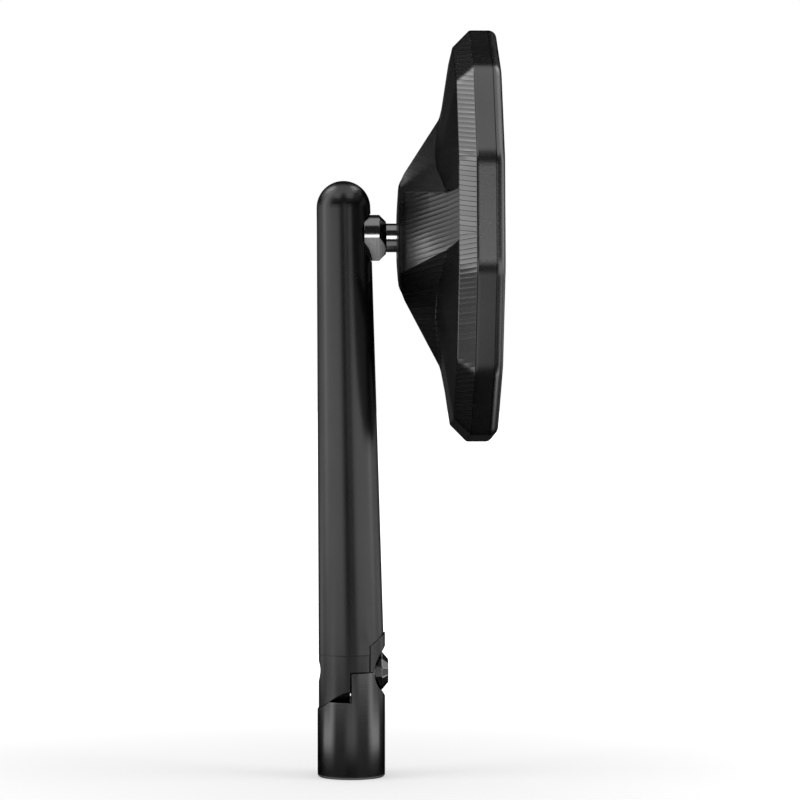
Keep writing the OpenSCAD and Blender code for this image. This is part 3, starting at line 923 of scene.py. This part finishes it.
def facets_to_the_ridge(normals):
    """Shades each spoke's facet as one smooth cut from the hub to the ridge."""
    shaped = normals.reshape(*grid.shape).copy()
    steady = int(np.argmin(np.abs(grid[:HUB_ROWS, HALF_COLUMNS, 2] - STEADY_DEPTH)))
    past = np.array([zone == "back" for zone in zones])
    past |= np.array([zone == "hub" for zone in zones]) & (np.arange(len(grid)) > steady)
    for k in range(3):
        a = math.radians(NEAR_SPOKE + 120 * k)
        out = grid[..., 0] * math.cos(a) + grid[..., 1] * math.sin(a)
        across = np.abs(grid[..., 1] * math.cos(a) - grid[..., 0] * math.sin(a))
        half = facet_half(RIDGE_DEPTH - (RIDGE_R - out) * BACK_SLOPE)
        share = np.clip((half + FACET_SOFT - across) / (2 * FACET_SOFT), 0, 1)
        share = share * (out > HUB_REACH) * past[:, None]
        cut = shaped[steady, (2 * k + 1) * HALF_COLUMNS]
        shaped = shaped * (1 - share[..., None]) + cut * share[..., None]
    return (shaped / np.linalg.norm(shaped, axis=-1, keepdims=True)).reshape(-1, 3)


head = piece_from_grid(
    "machined_head", head_points, faces, values, slots, facets_to_the_ridge)
volume = sum(
    float(np.dot(head_points[f[0]], np.cross(head_points[f[1]], head_points[f[2]])))
    + float(np.dot(head_points[f[0]], np.cross(head_points[f[2]], head_points[f[3]])))
    for f in faces) / 6
print("head volume", round(volume / 1000, 1), "cm3, triangles", 2 * len(faces))

# %% [markdown]
# ## The mirror glass
# The glass is convex, and a facetted one would break up everything it mirrors. It is
# drawn again from fine rings on the true sphere, with a small ground bevel at its edge.

# %% Convex glass
GLASS_R, GLASS_SPHERE, GLASS_BACK, GLASS_THICK = 46.2, 1200.0, 20.9, 2.2
GLASS_COLUMNS, GROUND_EDGE = 240, 0.3
glass_angle = np.linspace(0, 2 * math.pi, GLASS_COLUMNS, endpoint=False)


def glass_ring(share, inset, depth=None):
    """A ring on the glass; without a depth it lies on the front sphere."""
    flat_r = GLASS_R - inset
    reach = outline_reach(glass_angle, flat_r, flat_r - CORNER_REACH) * share
    if depth is None:
        depth = GLASS_BACK + GLASS_THICK - GLASS_SPHERE + np.sqrt(
            GLASS_SPHERE ** 2 - reach ** 2)
    return at_depth(ring(glass_angle, reach), depth)


glass_rows = [glass_ring(share, GROUND_EDGE, GLASS_BACK) for share in (0.3, 0.7, 1.0)]
glass_rows.append(glass_ring(1.0, 0, GLASS_BACK + GROUND_EDGE))
edge_front = glass_ring(1.0, 0)
edge_front[:, 2] -= GROUND_EDGE
glass_rows += [edge_front, glass_ring(1.0, GROUND_EDGE)]
glass_rows += [glass_ring(share, GROUND_EDGE) for share in np.linspace(0.999, 0.04, 22)]
EDGE_ROWS = range(2, 5)
print("rings of the glass:", len(glass_rows))

# %% Close the rings to one body
def closed_by_poles(rows):
    """Points and faces of rings that are closed by a point at each end."""
    count = len(rows[0])
    points = np.concatenate([rows[0].mean(0)[None]] + list(rows) + [rows[-1].mean(0)[None]])
    last = len(points) - 1
    ring_faces, row_of = [], []
    for k in range(count):
        right = (k + 1) % count
        ring_faces.append((0, 1 + right, 1 + k))
        row_of.append(0)
        ring_faces.append((last, last - count + k, last - count + right))
        row_of.append(len(rows) - 1)
    for r in range(len(rows) - 1):
        low, high = 1 + r * count, 1 + (r + 1) * count
        for k in range(count):
            right = (k + 1) % count
            ring_faces.append((low + k, low + right, high + right, high + k))
            row_of.append(r)
    return points, ring_faces, row_of


points, glass_faces, row_of = closed_by_poles(glass_rows)
points[-1, 2] = GLASS_BACK + GLASS_THICK
glass = piece_from_grid("convex_glass", on_stud(points), glass_faces, None,
                        [1 if r in EDGE_ROWS else 0 for r in row_of])
print("glass front at", round(HUB_X + GLASS_BACK + GLASS_THICK, 2), "mm, faces:",
      len(glass_faces))

# %% [markdown]
# ## The pivot screw
# The screw's head has twelve flat facets and a hexagon socket. One sixth of it repeats, so
# Geometry Nodes turns one sixth round the axis six times and joins the seams. The edges
# between the facets are broken, because such an edge always mirrors another direction.
# The sixth carries a stand-in finish through the tree, and the real ones go on by face: the
# broken edges take a near black one, a painted dark reflection.

# %% One sixth of the screw
SEAT_X, FACE_X, TAIL_X, THREAD_R = 5.8, 9.0, -7.25, 2.5
HEAD_WIDE, FACE_WIDE, HALF_SIDE = 9.5, 6, math.radians(15)
HEAD_FLAT_R = HEAD_WIDE / 2 * math.cos(HALF_SIDE)
FACE_FLAT_R = FACE_WIDE / 2 * math.cos(HALF_SIDE)
SOCKET_R, SOCKET_DEPTH = 2.0, 2.0
SOCKET_BREAK, TAIL_BREAK, SEAT_BREAK = 0.15, 0.3, 0.1
EDGE_TURN, ROUND = 2.6, 0
turns = [-30, -23, -15 - EDGE_TURN, -15 + EDGE_TURN, -6, 0, 6, 15 - EDGE_TURN,
         15 + EDGE_TURN, 23, 30]


def facet_ring(x, flat_r, sides):
    """Corners of one sixth of a polygon whose edges are broken at the given turns."""
    ring_points = []
    for turn in turns:
        if sides == 6:
            reach = flat_r / math.cos(math.radians(30 - abs(turn)))
        elif sides == 12:
            centre = 0 if abs(turn) <= 15 else math.copysign(30, turn)
            reach = flat_r / math.cos(math.radians(turn - centre))
        else:
            reach = flat_r
        a = math.radians(turn)
        ring_points.append((x * MM, reach * math.sin(a) * MM, -reach * math.cos(a) * MM))
    return ring_points


screw_rings = [
    facet_ring(FACE_X - SOCKET_DEPTH, SOCKET_R, 6),
    facet_ring(FACE_X - SOCKET_BREAK, SOCKET_R, 6),
    facet_ring(FACE_X, SOCKET_R + SOCKET_BREAK, 6),
    facet_ring(FACE_X, FACE_FLAT_R - 0.12, 12),
    facet_ring(FACE_X - 0.1, FACE_FLAT_R + 0.02, 12),
    facet_ring(FACE_X - 1.5, HEAD_FLAT_R - 0.05, 12),
    facet_ring(FACE_X - 1.68, HEAD_FLAT_R, 12),
    facet_ring(SEAT_X + SEAT_BREAK, HEAD_FLAT_R, 12),
    facet_ring(SEAT_X, HEAD_FLAT_R - SEAT_BREAK, 12), facet_ring(SEAT_X, THREAD_R, ROUND),
    facet_ring(TAIL_X + TAIL_BREAK, THREAD_R, ROUND),
    facet_ring(TAIL_X, THREAD_R - TAIL_BREAK, ROUND)]
points = [((FACE_X - SOCKET_DEPTH) * MM, 0, 0)] + [p for r in screw_rings for p in r]
points.append((TAIL_X * MM, 0, 0))
wide = len(turns)
faces = [(0, 1 + k, 2 + k) for k in range(wide - 1)]
for r in range(len(screw_rings) - 1):
    low, high = 1 + r * wide, 1 + (r + 1) * wide
    faces += [(low + k, high + k, high + k + 1, low + k + 1) for k in range(wide - 1)]
tail = 1 + (len(screw_rings) - 1) * wide
faces += [(tail + k, len(points) - 1, tail + k + 1) for k in range(wide - 1)]
sixth_mesh = bpy.data.meshes.new("screw_sixth")
sixth_mesh.from_pydata(points, [], faces)
sixth_mesh.polygons.foreach_set("use_smooth", [
    all(abs(math.hypot(*points[v][1:]) / MM - THREAD_R) < 0.01 for v in f) for f in faces])
sixth = bpy.data.objects.new("screw_sixth", sixth_mesh)
scene.collection.objects.link(sixth)
print("faces in one sixth:", len(faces))

# %% Turn the sixth round the axis
tree = bpy.data.node_groups.new("turned_screw", "GeometryNodeTree")
for name, kind in (("Geometry", "NodeSocketGeometry"), ("Times", "NodeSocketInt"),
                   ("Height", "NodeSocketFloat"), ("Join", "NodeSocketFloat"),
                   ("Finish", "NodeSocketMaterial")):
    tree.interface.new_socket(name, in_out="INPUT", socket_type=kind)
tree.interface.new_socket("Geometry", in_out="OUTPUT", socket_type="NodeSocketGeometry")
wires = Paint(tree)
given = wires.node("NodeGroupInput")
times = given.out("Times")
one = wires.node("GeometryNodeGeometryToInstance", {}, [given.out("Geometry")]).out()
spots = wires.node("GeometryNodePoints", {}, {"Count": times}).out()
turn = wires.node("GeometryNodeInputIndex").out() * (2 * math.pi) / times
turning = wires.node("ShaderNodeCombineXYZ", {}, {"X": turn}).out()
copies = wires.node("GeometryNodeInstanceOnPoints", {}, {
    "Points": spots, "Instance": one, "Rotation": turning}).out()
whole = wires.node("GeometryNodeRealizeInstances", {}, {"Geometry": copies}).out()
joined = wires.node("GeometryNodeMergeByDistance", {}, {
    "Geometry": whole, "Distance": given.out("Join")}).out()
lift_up = wires.node("ShaderNodeCombineXYZ", {}, {"Z": given.out("Height")}).out()
placed = wires.node("GeometryNodeTransform", {}, {
    "Geometry": joined, "Translation": lift_up}).out()
finished = wires.node("GeometryNodeSetMaterial", {}, {
    "Geometry": placed, "Material": given.out("Finish")}).out()
wires.node("NodeGroupOutput", {}, {"Geometry": finished})
stand_in = bpy.data.materials.new("black_screw_head")
print("nodes in the screw's tree:", len(tree.nodes))

# %% Turn it into a plain mesh
modifier = sixth.modifiers.new("turned", "NODES")
modifier.node_group = tree
sizes = {"Times": 6, "Height": PIVOT_Z * MM, "Join": 0.000002, "Finish": stand_in}
for socket in tree.interface.items_tree:
    if socket.in_out == "INPUT" and socket.name in sizes:
        modifier[socket.identifier] = sizes[socket.name]
bpy.context.view_layer.update()
seen = sixth.evaluated_get(bpy.context.evaluated_depsgraph_get())
screw_mesh = bpy.data.meshes.new_from_object(seen)
sixth.modifiers.clear()
bpy.data.objects.remove(sixth)
screw = bpy.data.objects.new("faceted_screw", screw_mesh)
scene.collection.objects.link(screw)
# Faces of the broken edges between the outer facets take the second, near black finish: a
# painted dark reflection along the edges.
EDGE_FROM_R = 3.1
edges = {}
for face in screw_mesh.polygons:
    x, y, z = face.center / MM
    turn = math.degrees(math.atan2(y, z - PIVOT_Z)) % 30
    outside = x > SEAT_X and math.hypot(y, z - PIVOT_Z) > EDGE_FROM_R
    face.material_index = int(outside and abs(turn - 15) < EDGE_TURN)
    for edge in face.edge_keys:
        edges[edge] = edges.get(edge, 0) + 1
print("screw faces:", len(screw_mesh.polygons), "open edges:",
      sum(count != 2 for count in edges.values()))

# %% [markdown]
# ## Black anodised finishes
# Anodised aluminium is still metal under a dark oxide layer: it mirrors the room dimly,
# and its rims stay dark. A metallic shader with a dark colour and a dark tint for the
# grazing angle does that. What differs from part to part is the tool marks.

# %% Turned and blasted metal
WEAR, CLOUD_SCALE, BEVEL_SAMPLES = 0.15, 60, 6
GRAIN_SCALE, GRAIN_HEIGHT = 2500, 0.00002
PAINTED_EDGE_LINE_SHADE, PAINTED_EDGE_LINE_SHARE = 0.01, 0.85


def line_map(paint):
    """The head's tool_lines map as two numbers, X and Y."""
    return paint.node("ShaderNodeSeparateXYZ", {}, [
        paint.node("ShaderNodeUVMap", {"uv_map": "tool_lines"}).out()])


def smooth_metal(name, colour, rough, grain=0.0, stretch=(1, 1, 1), tint=0.25,
                 edge=0.0002, painted_edge_line=False):
    """Metal with fine grain, cloudy wear and softly broken edges, and a painted dark edge
    line if asked.
    """
    material, paint = finish_named(name)
    place = place_of(paint)
    cloud = paint.noise(place, CLOUD_SCALE, 3)
    fine = paint.noise(place, GRAIN_SCALE, 2, stretch)
    soft = paint.node(
        "ShaderNodeBevel", {"samples": BEVEL_SAMPLES}, {"Radius": edge}).out()
    normal = paint.bump(fine, grain, GRAIN_HEIGHT, soft)
    shade = paint.mix(cloud, colour * (1 - WEAR), colour * (1 + WEAR))
    # A painted dark line along the wall's edges stands in for the dark reflection of their
    # rounding.
    if painted_edge_line:
        border = line_map(paint).out("Y").between(0.3, 0.9)
        shade = paint.mix(PAINTED_EDGE_LINE_SHARE * border, shade, PAINTED_EDGE_LINE_SHADE)
    shine(paint, {
        "Base Color": shade,
        "Roughness": rough - 0.03 + 0.06 * cloud,
        "Metallic": 1.0, "Specular Tint": (tint, tint, tint, 1), "Normal": normal})
    return material


print("wear changes a colour by", WEAR)

# %% [markdown]
# ## The cutter's valleys
# Each pass of the ball cutter leaves a shallow valley with a ridge on each side. Its tone
# differs a little from the next, and its depth fades in and out along the face. The map
# that the head carries says where each pass runs, so a bump draws it, and painted shade
# darkens each ridge.

# %% Milled metal
LINE_PITCH, LINE_WANDER = 1.15, 0.35
CUT_EDGE, CUT_HEIGHT, STREAK_HEIGHT = 0.00015, 0.00004, 0.00001
PAINTED_RIDGE_SHADE, MILLED_TINT = 0.3, 0.25


def milled_metal(name, colour, rough):
    """Dark metal with a ball cutter's shallow valleys, counted by the tool_lines map."""
    material, paint = finish_named(name)
    place = place_of(paint)
    map_place = line_map(paint)
    wander = paint.noise(place, 90, 1)
    passes = map_place.out("X") / (LINE_UNIT * LINE_PITCH) + LINE_WANDER * wander
    tone = paint.node("ShaderNodeTexWhiteNoise", {"noise_dimensions": "1D"}, {
        "W": passes.maths("FLOOR")}).out("Value")
    valley = abs(2 * passes.part() - 1) ** 2
    depth = (0.55 + 0.45 * paint.noise(place, 55, 2).between(0.38, 0.62)) * (
        0.6 + 0.4 * tone) * map_place.out("Y")
    ridge = valley.between(0.55, 1.0) * depth
    cloud = paint.noise(place, CLOUD_SCALE, 3)
    streak = paint.noise(place, 1400, 2)
    soft = paint.node(
        "ShaderNodeBevel", {"samples": BEVEL_SAMPLES}, {"Radius": CUT_EDGE}).out()
    cut = paint.bump(valley * depth, 1.0, CUT_HEIGHT, soft)
    normal = paint.bump(streak, 0.25, STREAK_HEIGHT, cut)
    shade = paint.mix(
        0.6 * cloud + 0.4 * tone, colour * (1 - WEAR), colour * (1 + WEAR))
    # Painted shade: the colour darkens on each ridge, standing in for the cusp's dark
    # reflection.
    shade = paint.mix(1.1 * ridge, shade, colour * PAINTED_RIDGE_SHADE)
    shine(paint, {
        "Base Color": shade, "Roughness": rough + 0.05 * cloud + 0.1 * ridge,
        "Metallic": 1.0, "Specular Tint": (MILLED_TINT, MILLED_TINT, MILLED_TINT, 1),
        "Normal": normal})
    return material


print("one pass of the cutter every", LINE_PITCH, "mm")

# %% The dark finishes and the bright stud
finishes = {
    "stalk": smooth_metal(
        "black_anodised_stalk", colour=0.078, rough=0.28, grain=0.4, tint=0.4),
    "base": smooth_metal(
        "black_anodised_base", colour=0.14, rough=0.2, grain=0.3, stretch=(0.05, 0.05, 1)),
    "head": milled_metal("black_machined_head", colour=0.16, rough=0.2),
    # The wall carries the painted dark edge line, a painted reflection of its rounded
    # edges.
    "wall": smooth_metal(
        "black_satin_wall", colour=0.13, rough=0.27, grain=1.0, painted_edge_line=True),
    "screw": smooth_metal(
        "black_screw", colour=0.25, rough=0.14, grain=0.1, edge=0.00005),
    # Near black: a painted dark reflection on the screw's broken edges.
    "screw_edge_painted_shade": smooth_metal(
        "screw_edge_painted_shade", colour=0.015, rough=0.3, grain=0.1, edge=0.00005),
    "steel": smooth_metal(
        "stainless_stud", colour=0.25, rough=0.14, grain=0.2, stretch=(1, 0.02, 0.02),
        tint=0.6),
}
print("metal finishes:", sorted(finishes))

# %% [markdown]
# ## Finishes that hide inside
# The springs, seats, bush, nut and pad show when the mirror is taken apart. None of them
# needs more than its own pair of tones, a gloss and a grain, so one function makes them
# all, and the ground edge of the glass too.

# %% Springs, bronze, plain metal, plastic, foam and glass edge
def spotted(name, low, high, rough, metallic, grain=0.3, size=GRAIN_SCALE):
    """A finish whose colour wanders between two tones, with fine grain."""
    material, paint = finish_named(name)
    place = place_of(paint)
    cloud = paint.noise(place, 120, 4).between(0.35, 0.65)
    tone = paint.mix(cloud, (*low, 1), (*high, 1))
    normal = paint.bump(paint.noise(place, size, 3), grain, GRAIN_HEIGHT)
    shine(paint, {
        "Base Color": tone, "Roughness": rough + 0.08 * cloud, "Metallic": metallic,
        "Normal": normal})
    return material


finishes["spring"] = spotted(
    "spring_steel", (0.3, 0.3, 0.31), (0.42, 0.41, 0.4), 0.25, 1.0)
finishes["bronze"] = spotted(
    "oiled_bronze", (0.36, 0.2, 0.09), (0.46, 0.28, 0.13), 0.34, 1.0)
finishes["plain"] = spotted(
    "plain_aluminium", (0.6, 0.6, 0.61), (0.72, 0.72, 0.72), 0.32, 1.0)
finishes["plastic"] = spotted(
    "seat_plastic", (0.03, 0.03, 0.032), (0.045, 0.045, 0.045), 0.42, 0.0)
finishes["foam"] = spotted(
    "pad_foam", (0.012, 0.012, 0.013), (0.03, 0.03, 0.03), 0.85, 0.0, 1.0, 900)
finishes["edge"] = spotted(
    "ground_glass_edge", (0.3, 0.34, 0.33), (0.4, 0.44, 0.43), 0.5, 0.0)
print("finishes so far:", len(finishes))

# %% Silvered glass
def mirror_finish():
    """Silvered glass: almost even, with a trace of ripple and of wiped dust."""
    material, paint = finish_named("convex_mirror")
    place = place_of(paint)
    wiped = paint.noise(place, 25, 4, (1, 3, 1)).between(0.45, 0.75)
    ripple = paint.bump(paint.noise(place, 30, 1), 0.15, 0.00001)
    shine(paint, {
        "Base Color": paint.mix(wiped, 0.84, 0.9), "Roughness": 0.015 + 0.03 * wiped,
        "Metallic": 1.0, "Normal": ripple})
    return material


finishes["mirror"] = mirror_finish()
print("finishes:", sorted(finishes))

# %% [markdown]
# ## Finishes on their pieces
# Most pieces keep the shape of the engineering model and only take a finish. The head, the
# glass and the screw were drawn again: each rides the same body as its solid, replaces it,
# and takes two finishes, one of them for its edges or its satin wall.

# %% Dress the solids
FINISH_OF = {
    "base": "base", "stalk": "stalk", "ball_stud": "steel",
    "pivot_bush": "bronze", "friction_washer": "plastic", "rear_seat": "plastic",
    "front_seat": "plastic", "pivot_washer": "spring", "pivot_spring_inner": "spring",
    "pivot_spring_outer": "spring", "ball_spring_rear": "spring",
    "ball_spring_front": "spring", "pressure_cup": "plain", "ring_nut": "plain",
    "glass_pad": "foam"}
for node, finish in FINISH_OF.items():
    nodes[node].data.materials.clear()
    nodes[node].data.materials.append(finishes[finish])
print("drawn again:", sorted(set(nodes) - set(FINISH_OF)))

# %% Dress the pieces that were drawn again
screw.data.materials.clear()
screw.data.materials.append(finishes["screw"])
screw.data.materials.append(finishes["screw_edge_painted_shade"])
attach(screw, "stalk")
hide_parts("pivot_screw")
glass.data.materials.append(finishes["mirror"])
glass.data.materials.append(finishes["edge"])
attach(glass, "head")
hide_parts("mirror_glass")
head.data.materials.append(finishes["head"])
head.data.materials.append(finishes["wall"])
print("faces of the head:", len(head.data.polygons))

# %% [markdown]
# ## Two strips for the head
# In the photograph the bend of the near facet has a bright patch, and the wall is a dim
# grey. A strip lamp makes the patch. It stands where the stalk is, so only the head may
# block it. A wide one above the camera lights the wall.

# %% Strips on the head
reflected_strip("strip_on_facet", (-0.0064, 0.0017, 0.128), (0.0181, -0.0156, 0.128),
                (0.0185, 0.009), 2.2, head, through_others=True)
reflected_strip("strip_on_wall", (0.052, -0.8, 0.275), (0.03, -0.049, 0.135),
                (0.3, 0.14), 1.2, head)
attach(head, "head")
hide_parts("housing")
print("lamps:", len(bpy.data.lights))
